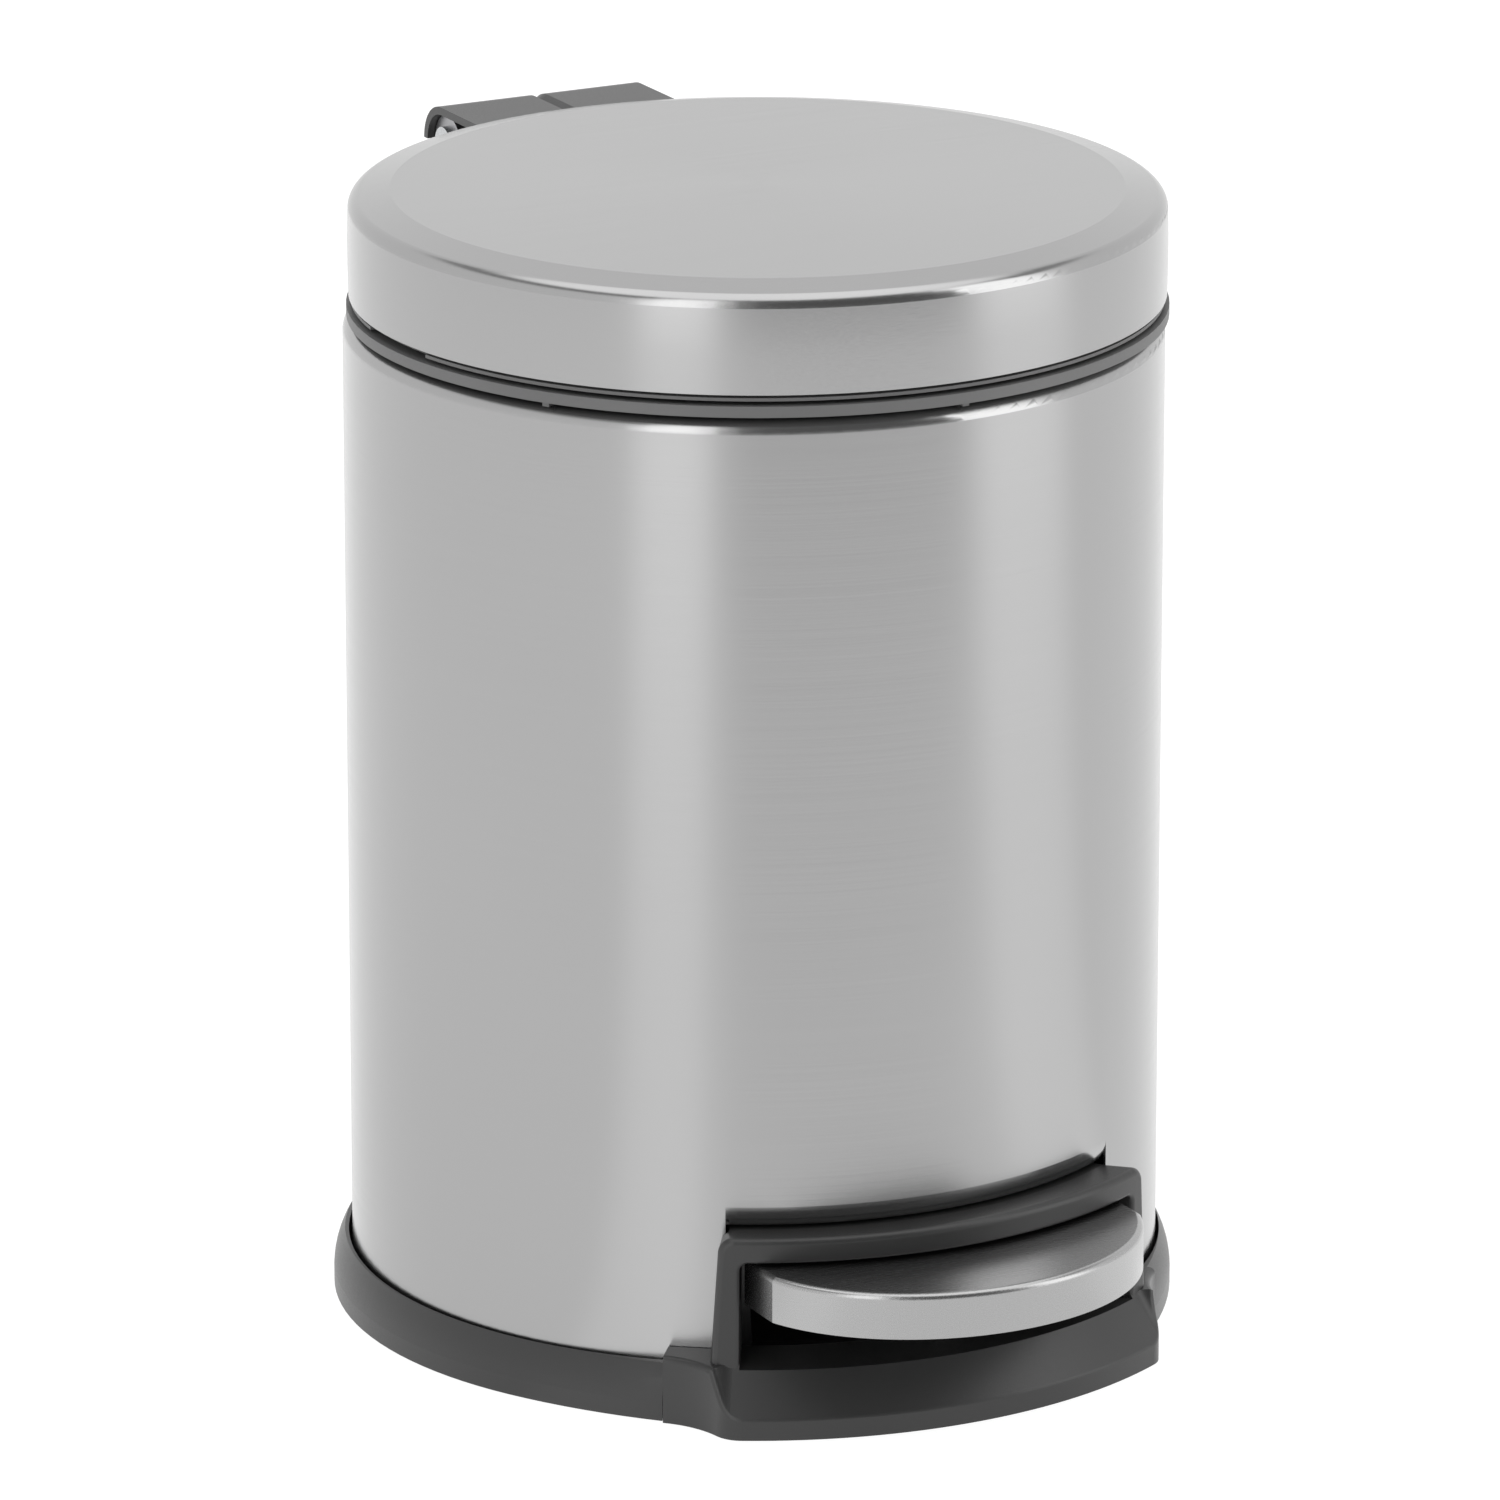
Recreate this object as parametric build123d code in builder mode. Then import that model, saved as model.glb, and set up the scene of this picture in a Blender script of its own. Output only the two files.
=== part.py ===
from build123d import *
import os
from math import asin, cos, degrees, radians, sin, sqrt, tan

# Round pedal bin, in millimetres. The origin is on the floor on the body's axis, +Z is up, and the
# pedal faces -Y. The lid hinges at the back (+Y) and is lifted by a rod that the pedal lever pushes up.

# ---- driving dimensions ----
body_radius = 100.0
sheet = 0.6                      # steel sheet of the body and the lid
body_top = 248.2                 # top of the body's rolled rim
lid_bottom = 255.0               # lower edge of the lid's steel skirt
lid_height = 26.2
lid_radius = 99.5
lid_shift = -2.0                 # the lid and the bucket sit this far forward of the body's axis
plastic = 2.0                    # wall of the moulded parts
hinge_y = 115.5                  # lid hinge axis, parallel to X
hinge_z = 268.0
hinge_half_width = 28.0
crank_radius = 22.0              # lid hinge axis to crank pin
crank_angle = 39.0               # crank below the horizontal when shut, and above it when open
pivot_y = -55.0                  # pedal axle, parallel to X
pivot_z = 28.0
rod_y = 91.5                     # push rod, parallel to Z
rod_radius = 2.0
running_gap = 0.05               # radial clearance of a shaft that turns or slides in its bore
screw_radius = 1.6               # small screws in the housing, the pedal and the lid
screw_head_radius = 3.0
screw_head_height = 1.8

# ---- values worked out from them ----
body_inner = body_radius - sheet
base_foot = 4.2                  # floor of the groove that the body's lower edge stands in
lid_axis = Axis((0, lid_shift, 0), (0, 0, 1))
lid_plane = Plane.XZ.offset(-lid_shift)
crank_pin_y = hinge_y - crank_radius * cos(radians(crank_angle))
crank_pin_z = hinge_z - crank_radius * sin(radians(crank_angle))
pin_radius = 2.5                 # hinge pin and pedal axle
crank_pin_radius = 1.5

# ---- places of the fasteners in the body's back wall, as (x, z) ----
bracket_screw_x = 16.0
bracket_screw_levels = (219.0, 231.0)
bracket_screw_radius = 1.8
bracket_screw_spots = [(side * bracket_screw_x, level) for level in bracket_screw_levels for side in (-1, 1)]
guide_levels = {"rod_guide_lower": 110.0, "rod_guide_upper": 196.0}
guide_height = 10.0
guide_front_y = 87.0
guide_rivet_x = 8.0
rivet_radius = 1.5
rivet_spots = [
    (side * guide_rivet_x, level + guide_height / 2) for level in guide_levels.values() for side in (-1, 1)
]


def radial_plane(angle):
    """The upright half-plane at an angle from +X round the body's axis: x is radius, y is height."""
    across, along = sin(radians(angle)), cos(radians(angle))
    return Plane(origin=(0, 0, 0), x_dir=(along, across, 0), z_dir=(across, -along, 0))


def off_axis(edge, place=0.5):
    """How far an edge stands from the body's axis, at a place from 0 to 1 along it."""
    point = edge.position_at(place)
    return sqrt(point.X**2 + point.Y**2)


def save(piece, name):
    """Labels one finished piece and writes it to its own file."""
    piece.part.label = name
    export_step(piece.part, f"parts/{name}.step")


os.makedirs("parts", exist_ok=True)

# ---- body shell: steel tube, rolled in at the top, with a flanged cut-out behind the pedal housing ----
rim_roll = 3.2                   # outer radius of the rolled rim
rim_inner_radius = 95.8
cutout_angle = 31.5              # half the arc of the cut-out
cutout_top = 53.2
flange_roll = 8.0                # outer radius of the edge that turns in above the pedal housing
flange_turn = 38.0               # degrees that it turns

with BuildPart() as body_shell:
    with BuildSketch(Plane.XZ):
        with BuildLine():
            roll_centre = (body_radius - rim_roll, body_top - rim_roll)
            outer_roll = CenterArc(roll_centre, rim_roll, 0, 90)
            inner_roll = CenterArc(roll_centre, rim_roll - sheet, 0, 90)
            Polyline(outer_roll @ 0, (body_radius, base_foot), (body_inner, base_foot), inner_roll @ 0)
            rim_edge = (rim_inner_radius, body_top - sheet)
            Polyline(outer_roll @ 1, (rim_inner_radius, body_top), rim_edge, inner_roll @ 1)
        make_face()
    revolve(axis=Axis.Z)
    with BuildSketch(radial_plane(-90 - cutout_angle)):
        with Locations((body_radius, cutout_top / 2)):
            Rectangle(4 * sheet, cutout_top)
    revolve(axis=Axis.Z, revolution_arc=2 * cutout_angle, mode=Mode.SUBTRACT)
    with BuildSketch(radial_plane(-90 - cutout_angle)):
        with BuildLine():
            turn_centre = (body_radius - flange_roll, cutout_top)
            outer_turn = CenterArc(turn_centre, flange_roll, 360 - flange_turn, flange_turn)
            inner_turn = CenterArc(turn_centre, flange_roll - sheet, 360 - flange_turn, flange_turn)
            Line(outer_turn @ 0, inner_turn @ 0)
            Line(outer_turn @ 1, inner_turn @ 1)
        make_face()
    revolve(axis=Axis.Z, revolution_arc=2 * cutout_angle)
    with BuildSketch(Plane.XZ.offset(-guide_front_y)):
        with Locations(*bracket_screw_spots):
            Circle(bracket_screw_radius)
        with Locations(*rivet_spots):
            Circle(rivet_radius)
    extrude(amount=-body_radius, mode=Mode.SUBTRACT)

# ---- pedal housing: moulded surround of the pedal, with a lip on the floor and wings to the base ring ----
seam_angle = 39.4                # the wings meet the base ring at this angle either side of the front
seam_radius = 107.0
seam_gap = 0.2                   # degrees of gap at each seam
housing_back = body_radius + 0.4
frame_radius = 110.0
frame_half_angle = 32.6          # to the legs' outer sides, half way up
frame_lean = 3.7                 # the legs spread apart by this angle towards the floor
frame_foot = 14.0                # where the legs end inside the lip's slope
frame_top = 48.7
frame_top_back = 47.8
frame_corner = 4.0
frame_edge = 1.6                 # rounding round the frame's front
sleeve_back = 93.0               # the window's walls reach in through the body's cut-out to this radius
sleeve_half_angle = 31.0
sleeve_top = 47.3
window_half_angle = 29.4
window_bottom = 15.5
window_top = 42.3
window_corner = 2.0
window_edge = 1.0                # rounding round the window's top and sides
lip_radius = 117.0
lip_height = 5.2
lip_half_angle = 29.0
lip_edge = 1.4                   # rounding along the lip's and the wings' upper edge
lip_corner = (60.6, -96.7)       # where the lip's round corner runs into the wing
slope_top = 15.9                 # where the lip's slope meets the frame
slope_fall = (slope_top - lip_height) / (lip_radius - frame_radius)
slope_half_angle = 33.0          # the lip slopes down in front of the frame, between the wings
slope_corner = 5.5               # and rises to the wings in a hollow curve
wing_top_back = 17.3
wing_top_front = 16.1
tab_x = 46.0                     # middle of the two tabs that hold the housing to the base
tab_y = -86.0
tab_size = (12.0, 26.0)
tab_height = 3.0
tab_screw_y = -79.0
floor_top = 3.0                  # upper face of the base's floor
hollow_top = 13.0                # the lip is hollow behind, from the base's floor up to here
hollow_front = 107.4


def ring_block(inner, outer, bottom, top, half_angle):
    """A block bent round the body's axis, centred on the front."""
    with BuildPart() as block:
        with BuildSketch(radial_plane(-90 - half_angle)):
            with Locations(((inner + outer) / 2, (bottom + top) / 2)):
                Rectangle(outer - inner, top - bottom)
        revolve(axis=Axis.Z, revolution_arc=2 * half_angle)
    return block.part


def radial_edges(block):
    """The straight edges of a bent block that run away from the body's axis."""
    return block.edges().filter_by(GeomType.LINE).filter_by(Axis.Z, reverse=True)


with BuildPart() as window:
    add(ring_block(sleeve_back - 1.0, lip_radius + 1.0, window_bottom, window_top, window_half_angle))
    fillet(radial_edges(window).group_by(Axis.Z)[-1], window_corner)

with BuildPart() as window_frame:
    with BuildSketch(radial_plane(-90 - seam_angle)):
        with BuildLine():
            Polyline(
                (housing_back, frame_foot), (frame_radius, frame_foot), (frame_radius, frame_top),
                (housing_back, frame_top_back), close=True,
            )
        make_face()
    revolve(axis=Axis.Z, revolution_arc=2 * seam_angle)
    leg_sine, leg_cosine = sin(radians(frame_half_angle)), cos(radians(frame_half_angle))
    for side in (-1, 1):
        outer_side = Plane(
            origin=(0, 0, (frame_foot + frame_top) / 2),
            x_dir=(side * leg_sine, -leg_cosine, 0),
            z_dir=(side * leg_cosine, leg_sine, sin(radians(frame_lean))),
        )
        split(bisect_by=outer_side, keep=Keep.BOTTOM)
    sides = window_frame.faces().sort_by(Axis.X)
    fillet([sides[0].edges().sort_by(Axis.Z)[-1], sides[-1].edges().sort_by(Axis.Z)[-1]], frame_corner)
    front_face = window_frame.faces().sort_by(Axis.Y)[0]
    fillet(front_face.edges().sort_by(Axis.Z)[1:], frame_edge)
    add(ring_block(sleeve_back, housing_back + 1.0, frame_foot, sleeve_top, sleeve_half_angle))

with BuildPart() as slope_cut:
    with BuildSketch(radial_plane(-90 - slope_half_angle)):
        with BuildLine():
            Polyline(
                (frame_radius - 1.0, slope_top + slope_fall), (lip_radius + 1.0, lip_height - slope_fall),
                (lip_radius + 1.0, frame_top), (frame_radius - 1.0, frame_top), close=True,
            )
        make_face()
    revolve(axis=Axis.Z, revolution_arc=2 * slope_half_angle)
    fillet(radial_edges(slope_cut).group_by(Axis.Z)[0], slope_corner)

with BuildPart() as pedal_housing:
    with BuildSketch(Plane.XY):
        with BuildLine():
            lip = CenterArc((0, 0), lip_radius, -90 - lip_half_angle, 2 * lip_half_angle)
            seam_sine, seam_cosine = sin(radians(seam_angle)), cos(radians(seam_angle))
            seam_outer = (seam_radius * seam_sine, -seam_radius * seam_cosine)
            seam_inner = (housing_back * seam_sine, -housing_back * seam_cosine)
            corner = TangentArc(lip @ 1, lip_corner, tangent=lip % 1)
            wing = TangentArc(corner @ 1, seam_outer, tangent=corner % 1)
            seam = Line(wing @ 1, seam_inner)
            mirror([corner, wing, seam], about=Plane.YZ)
            CenterArc((0, 0), housing_back, -90 - seam_angle, 2 * seam_angle)
        make_face()
    extrude(amount=frame_top)
    with BuildSketch(Plane.XZ):
        with BuildLine():
            Polyline(
                (housing_back - 1.0, 0), (lip_radius + 1.0, 0), (lip_radius + 1.0, wing_top_front),
                (housing_back - 1.0, wing_top_back), close=True,
            )
        make_face()
    revolve(axis=Axis.Z, mode=Mode.INTERSECT)
    add(slope_cut.part, mode=Mode.SUBTRACT)
    wall_edges = ShapeList()
    for face in pedal_housing.faces():
        if abs(face.normal_at().Z) < 0.01 and face.center().Y < -housing_back * cos(radians(seam_angle)):
            wall_edges += face.edges()
    upper_edges = [
        edge for edge in wall_edges
        if edge.bounding_box().min.Z > lip_height - 0.1
        and min(off_axis(edge, 0), off_axis(edge, 1)) > seam_radius - 0.1
        and max(off_axis(edge, 0), off_axis(edge, 1)) > frame_radius + 0.1
    ]
    fillet(upper_edges, lip_edge)
    add(window_frame.part)
    add(window.part, mode=Mode.SUBTRACT)
    window_edges = [
        edge for edge in pedal_housing.edges()
        if abs(off_axis(edge) - frame_radius) < 0.05
        and (window_bottom + window_top) / 2 < edge.bounding_box().max.Z < window_top + 0.1
        and abs(edge.center().X) < frame_radius * sin(radians(window_half_angle)) + 0.1
    ]
    fillet(window_edges, window_edge)
    add(ring_block(sleeve_back, hollow_front, floor_top, hollow_top, lip_half_angle), mode=Mode.SUBTRACT)
    with BuildSketch(Plane.XY.offset(floor_top)):
        with Locations((-tab_x, tab_y), (tab_x, tab_y)):
            Rectangle(*tab_size)
    extrude(amount=tab_height)
    with Locations(*[(side * tab_x, tab_screw_y, floor_top + tab_height) for side in (-1, 1)]):
        Hole(screw_radius, depth=tab_height)

# ---- base: floor, outer ring, groove for the body, ribs, feet pockets and the two pedal axle towers ----
base_radius = 104.2
base_shift = 1.0                 # the outer ring's middle sits this far behind the body's axis
ring_top = 13.9
ring_round = (0.9, 9.6)          # the ring rounds over through here: in from its side, and height
ring_crest = 2.8                 # its top edge is this far in from its side
ring_foot = 4.6                  # its side is upright up to here
flare_angle = 62.0               # from here to the seams the ring swells out to the wings
flare_turn = 17.5                # how far each swelling runs round its own centre
flare_offset = 42.0              # that centre lies this far beyond the ring's middle
groove_inner = 98.7
groove_outer = body_radius + 0.9
ring_wall_inner = 96.2
ring_wall_top = 12.0
foot_radius = 9.0
foot_height = 1.6
foot_circle = 84.0
tower_x = 37.0
tower_width = 6.0
tower_radius = 7.0
tower_foot = 10.0                # half depth of a tower at the floor
rib_radius = 66.0
rib_height = 3.5
rib_width = 2.0
rib_length = 30.0
rib_count = 5
rib_start = -18.0
screw_skin = 0.8                 # plastic left below the housing screws


def ring_profile(radius):
    """The outer ring's section out to a radius, filled in to the middle."""
    with BuildSketch() as section:
        with BuildLine():
            side_top = (radius, ring_foot)
            round_over = ThreePointArc(
                side_top, (radius - ring_round[0], ring_round[1]), (radius - ring_crest, ring_top),
            )
            Polyline(round_over @ 1, (0, ring_top), (0, 0), (radius, 0), side_top)
        make_face()
    return section.sketch


def ring_flare(side):
    """A swelling of the ring towards one wing: the same section turned round a centre further off."""
    away = radians(flare_angle)
    centre = (-side * flare_offset * sin(away), base_shift + flare_offset * cos(away))
    start = -90 + side * flare_angle
    along, across = cos(radians(start)), sin(radians(start))
    with BuildPart() as flare:
        with BuildSketch(Plane(origin=(*centre, 0), x_dir=(along, across, 0), z_dir=(across, -along, 0))):
            add(ring_profile(base_radius + flare_offset))
        revolve(axis=Axis((*centre, 0), (0, 0, -side)), revolution_arc=flare_turn)
    return flare.part

with BuildPart() as base:
    with BuildSketch(Plane.XZ.offset(-base_shift)):
        add(ring_profile(base_radius))
    revolve(axis=Axis((0, base_shift, 0), (0, 0, 1)))
    for side in (-1, 1):
        add(ring_flare(side))
    with BuildSketch(Plane.XZ):
        with BuildLine():
            Polyline(
                (0, floor_top), (ring_wall_inner, floor_top), (ring_wall_inner, ring_wall_top),
                (groove_inner, ring_wall_top), (groove_inner, base_foot), (groove_outer, base_foot),
                (groove_outer, 2 * ring_top), (0, 2 * ring_top), close=True,
            )
        make_face()
    revolve(axis=Axis.Z, mode=Mode.SUBTRACT)
    with BuildSketch(Plane.XY.offset(floor_top)):
        Circle(rib_radius)
        Circle(rib_radius - rib_width, mode=Mode.SUBTRACT)
        with PolarLocations(rib_radius + (rib_length - rib_width) / 2, rib_count, start_angle=rib_start):
            Rectangle(rib_length, rib_width)
    extrude(amount=rib_height)
    front_gap = ring_block(ring_wall_inner - 0.1, lip_radius, -ring_top, 2 * ring_top, seam_angle + seam_gap)
    add(front_gap, mode=Mode.SUBTRACT)
    for tower_centre in (-tower_x, tower_x):
        with BuildSketch(Plane.YZ.offset(tower_centre - tower_width / 2)):
            with BuildLine():
                dome = CenterArc((pivot_y, pivot_z), tower_radius, 0, 180)
                Polyline(dome @ 0, (pivot_y + tower_foot, 1.0), (pivot_y - tower_foot, 1.0), dome @ 1)
            make_face()
            with Locations((pivot_y, pivot_z)):
                Circle(pin_radius, mode=Mode.SUBTRACT)
        extrude(amount=tower_width)
    with BuildSketch(Plane.XY):
        with PolarLocations(foot_circle, 4, start_angle=45):
            Circle(foot_radius)
    extrude(amount=foot_height, mode=Mode.SUBTRACT)
    with Locations(*[(side * tab_x, tab_screw_y, floor_top) for side in (-1, 1)]):
        Hole(screw_radius, depth=floor_top - screw_skin)

# ---- rubber feet: four pads let into the underside of the base ----
with BuildPart() as rubber_feet:
    with BuildSketch(Plane.XY):
        with PolarLocations(foot_circle, 4, start_angle=45):
            Circle(foot_radius)
    extrude(amount=foot_height)

# ---- housing screws: two, through the housing's tabs into the base ----
with BuildPart() as housing_screws:
    with BuildSketch(Plane.XY.offset(screw_skin)):
        with Locations((-tab_x, tab_screw_y), (tab_x, tab_screw_y)):
            Circle(screw_radius)
    extrude(amount=floor_top + tab_height - screw_skin)
    with BuildSketch(Plane.XY.offset(floor_top + tab_height)):
        with Locations((-tab_x, tab_screw_y), (tab_x, tab_screw_y)):
            Circle(screw_head_radius)
    extrude(amount=screw_head_height)

# ---- pedal axle and its two retaining clips, outside the towers ----
tower_outer = tower_x + tower_width / 2
axle_half_length = tower_outer + 3.0
clip_radius = 5.0
clip_width = 1.2
clip_gap = 0.4                   # between each clip and its tower

with BuildPart() as pedal_axle:
    with BuildSketch(Plane.YZ.offset(-axle_half_length)):
        with Locations((pivot_y, pivot_z)):
            Circle(pin_radius)
    extrude(amount=2 * axle_half_length)

with BuildPart() as axle_clips:
    for clip_start in (tower_outer + clip_gap, -tower_outer - clip_gap - clip_width):
        with BuildSketch(Plane.YZ.offset(clip_start)):
            with Locations((pivot_y, pivot_z)):
                Circle(clip_radius)
                Circle(pin_radius, mode=Mode.SUBTRACT)
        extrude(amount=clip_width)

# ---- pedal: steel cap over a moulded core, on a steel lever that reaches back under the rod ----
pedal_bottom = 30.3
pedal_top = 41.6
pedal_half_width = 52.8          # of the ellipse that its front follows
pedal_side_x = 50.5              # its straight sides cut the ellipse here
pedal_reach = 45.0               # the cap's round front, ahead of its widest line
pedal_widest_y = -93.0
pedal_back_y = -86.0
pedal_taper = 28.8               # the sides run back at this angle to the middle, clear of the window
pedal_edge = 1.5
cap_wall = 0.9
strap = 2.5                      # lever plate thickness
lever_top = 35.5                 # upper face of the lever where it carries the pedal
lever_front_y = -126.0
lever_half_width = 22.0
lever_low_z = 11.0               # middle of the strap behind the axle
lever_end_y = 92.0
lever_bend = 8.0                 # radius of its two bends
lever_bends = (-42.0, -22.0)     # where the strap slopes down behind the pedal
plate_back_y = -50.0             # back edge of its wide front plate
lever_tail_half_width = 12.0
ear_radius = 8.0
bush_radius = 4.5
bush_flange = 1.5                # each bush stands this far out of its ear, both sides


def pedal_outline(inset):
    """An elliptical front, straight sides that taper in at the back, inset all round but the back."""
    side, tip_y = pedal_side_x - inset, -inset / sin(radians(pedal_taper))
    taper_y = tip_y - side / tan(radians(pedal_taper))
    with BuildSketch() as outline:
        with Locations((0, pedal_widest_y)):
            Ellipse(pedal_half_width - inset, pedal_reach - inset)
            Rectangle(2 * side, pedal_back_y - pedal_widest_y, align=(Align.CENTER, Align.MIN))
        with BuildLine():
            Polyline(
                (side, pedal_back_y), (side, -lip_radius - pedal_reach), (-side, -lip_radius - pedal_reach),
                (-side, pedal_back_y), close=True,
            )
        make_face(mode=Mode.INTERSECT)
        with BuildLine():
            Polyline(
                (0, tip_y), (side, taper_y), (side, -lip_radius - pedal_reach),
                (-side, -lip_radius - pedal_reach), (-side, taper_y), close=True,
            )
        make_face(mode=Mode.INTERSECT)
    return outline.sketch


with BuildPart() as pedal_cap:
    with BuildSketch(Plane.XY.offset(pedal_bottom)):
        add(pedal_outline(0))
    extrude(amount=pedal_top - pedal_bottom)
    fillet(pedal_cap.edges().group_by(Axis.Z)[-1].sort_by(Axis.Y)[:-1], pedal_edge)
    with BuildSketch(Plane.XY.offset(pedal_bottom)):
        add(pedal_outline(cap_wall))
    extrude(amount=pedal_top - pedal_bottom - cap_wall, mode=Mode.SUBTRACT)

core_bottom = 31.0
core_gap = 0.8                   # between the core's sides and the cap
core_top = pedal_top - cap_wall
core_pocket = (-36.0, -99.0)     # middle of the left one of two pockets that lighten the core
core_pocket_size = (20.0, 18.0)
screw_tip = core_top - 1.0
screw_spots = [(0, -112.0), (-12.0, -95.0), (12.0, -95.0)]

with BuildPart() as pedal_core:
    with BuildSketch(Plane.XY.offset(core_bottom)):
        add(pedal_outline(cap_wall + core_gap))
    extrude(amount=core_top - core_bottom)
    with BuildSketch(Plane.XY.offset(core_bottom)):
        with Locations((0, (lever_front_y + pedal_back_y) / 2)):
            Rectangle(2 * lever_half_width, pedal_back_y - lever_front_y)
    extrude(amount=lever_top - core_bottom, mode=Mode.SUBTRACT)
    with BuildSketch(Plane.XY.offset(core_bottom)):
        with Locations(core_pocket, (-core_pocket[0], core_pocket[1])):
            Rectangle(*core_pocket_size)
    extrude(amount=core_top - core_bottom - plastic, mode=Mode.SUBTRACT)
    with BuildSketch(Plane.XY.offset(lever_top)):
        with Locations(*screw_spots):
            Circle(screw_radius)
    extrude(amount=screw_tip - lever_top, mode=Mode.SUBTRACT)

with BuildPart() as pedal_lever:
    with BuildSketch(Plane.YZ.offset(-lever_tail_half_width)):
        with BuildLine():
            FilletPolyline(
                (lever_front_y, lever_top - strap / 2), (lever_bends[0], lever_top - strap / 2),
                (lever_bends[1], lever_low_z), (lever_end_y, lever_low_z), radius=lever_bend,
            )
        trace(line_width=strap)
    extrude(amount=2 * lever_tail_half_width)
    with BuildSketch(Plane.XY.offset(lever_top - strap)):
        with Locations((0, (lever_front_y + plate_back_y) / 2)):
            Rectangle(2 * lever_half_width, plate_back_y - lever_front_y)
    extrude(amount=strap)
    for ear_start in (-lever_half_width, lever_half_width - strap):
        with BuildSketch(Plane.YZ.offset(ear_start)):
            with Locations((pivot_y, pivot_z)):
                Circle(ear_radius)
            with Locations((pivot_y, (pivot_z + lever_top) / 2)):
                Rectangle(2 * ear_radius, lever_top - pivot_z)
            with Locations((pivot_y, pivot_z)):
                Circle(bush_radius, mode=Mode.SUBTRACT)
        extrude(amount=strap)
    with BuildSketch(Plane.XY.offset(lever_top - strap)):
        with Locations(*screw_spots):
            Circle(screw_radius)
    extrude(amount=strap, mode=Mode.SUBTRACT)

with BuildPart() as lever_bushes:
    for bush_start in (-lever_half_width - bush_flange, lever_half_width - strap - bush_flange):
        with BuildSketch(Plane.YZ.offset(bush_start)):
            with Locations((pivot_y, pivot_z)):
                Circle(bush_radius)
                Circle(pin_radius + running_gap, mode=Mode.SUBTRACT)
        extrude(amount=strap + 2 * bush_flange)

with BuildPart() as pedal_screws:
    with BuildSketch(Plane.XY.offset(lever_top - strap)):
        with Locations(*screw_spots):
            Circle(screw_radius)
    extrude(amount=screw_tip - lever_top + strap)
    with BuildSketch(Plane.XY.offset(lever_top - strap - screw_head_height)):
        with Locations(*screw_spots):
            Circle(screw_head_radius)
    extrude(amount=screw_head_height)

tip_y = 88.0                     # middle of the plastic tip on the lever's end
tip_half_length = 6.0
tip_half_width = 14.0
tip_top = 14.6                   # crest of the tip, under the rod's foot
tip_edge = 13.3                  # its front and back edges
tip_bottom = 8.2

with BuildPart() as lever_tip:
    with BuildSketch(Plane.YZ.offset(-tip_half_width)):
        with BuildLine():
            crest = ThreePointArc(
                (tip_y - tip_half_length, tip_edge), (tip_y + 1, tip_top),
                (tip_y + tip_half_length, tip_edge),
            )
            Polyline(
                crest @ 0, (tip_y - tip_half_length, tip_bottom),
                (tip_y + tip_half_length, tip_bottom), crest @ 1,
            )
        make_face()
    extrude(amount=2 * tip_half_width)
    with BuildSketch(Plane.YZ.offset(-lever_tail_half_width)):
        with Locations(((tip_y - tip_half_length + lever_end_y) / 2, lever_low_z)):
            Rectangle(lever_end_y - tip_y + tip_half_length, strap)
    extrude(amount=2 * lever_tail_half_width, mode=Mode.SUBTRACT)
    with BuildSketch(Plane.XY):
        Circle(ring_wall_inner - 1.0)
    extrude(amount=2 * tip_top, mode=Mode.INTERSECT)

# ---- push rod: plastic foot, steel rod and a slotted head that the crank pin rides in ----
rod_travel = 2 * crank_radius * sin(radians(crank_angle))
foot_bottom = 15.0
rod_start = 19.0
foot_top = 27.0
rod_foot_radius = 5.0
head_half_thickness = 1.5
head_bottom = 238.0
socket_top = 249.4
head_top = 258.8
head_front_y = 88.7
head_back_y = 102.6
slot_height = 4.6
slot_length = crank_radius * (1 - cos(radians(crank_angle))) + slot_height + 0.2
rod_end = 248.0
socket_half_width = 2.8          # flat back of the head where it leaves the socket
socket_radius = 3.2

with BuildPart() as push_rod:
    with BuildSketch(Plane.XY.offset(rod_start)):
        with Locations((0, rod_y)):
            Circle(rod_radius)
    extrude(amount=rod_end - rod_start)

with BuildPart() as rod_foot:
    with BuildSketch(Plane.XY.offset(foot_bottom)):
        with Locations((0, rod_y)):
            Circle(rod_foot_radius)
    extrude(amount=foot_top - foot_bottom)
    with BuildSketch(Plane.XY.offset(rod_start)):
        with Locations((0, rod_y)):
            Circle(rod_radius)
    extrude(amount=foot_top - rod_start, mode=Mode.SUBTRACT)

with BuildPart() as rod_head:
    with BuildSketch(Plane.YZ.offset(-head_half_thickness)):
        with BuildLine():
            Polyline(
                (head_front_y, head_bottom), (rod_y + socket_half_width, head_bottom),
                (rod_y + socket_half_width, socket_top), (head_back_y, socket_top), (head_back_y, head_top),
                (head_front_y, head_top), close=True,
            )
        make_face()
        with Locations(((crank_pin_y + hinge_y - crank_radius) / 2, crank_pin_z)):
            SlotOverall(slot_length, slot_height, mode=Mode.SUBTRACT)
    extrude(amount=2 * head_half_thickness)
    with BuildSketch(Plane.XY.offset(head_bottom)):
        with Locations((0, rod_y)):
            Circle(socket_radius)
    extrude(amount=socket_top - head_bottom)
    with BuildSketch(Plane.XY.offset(head_bottom)):
        with Locations((0, rod_y)):
            Circle(rod_radius)
    extrude(amount=rod_end - head_bottom, mode=Mode.SUBTRACT)

# ---- rod guides: two blocks on the inside of the body's back wall, each held by two rivets ----
guide_half_width = 12.0
rivet_head_radius = 3.0
rivet_head_height = 0.9


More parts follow.
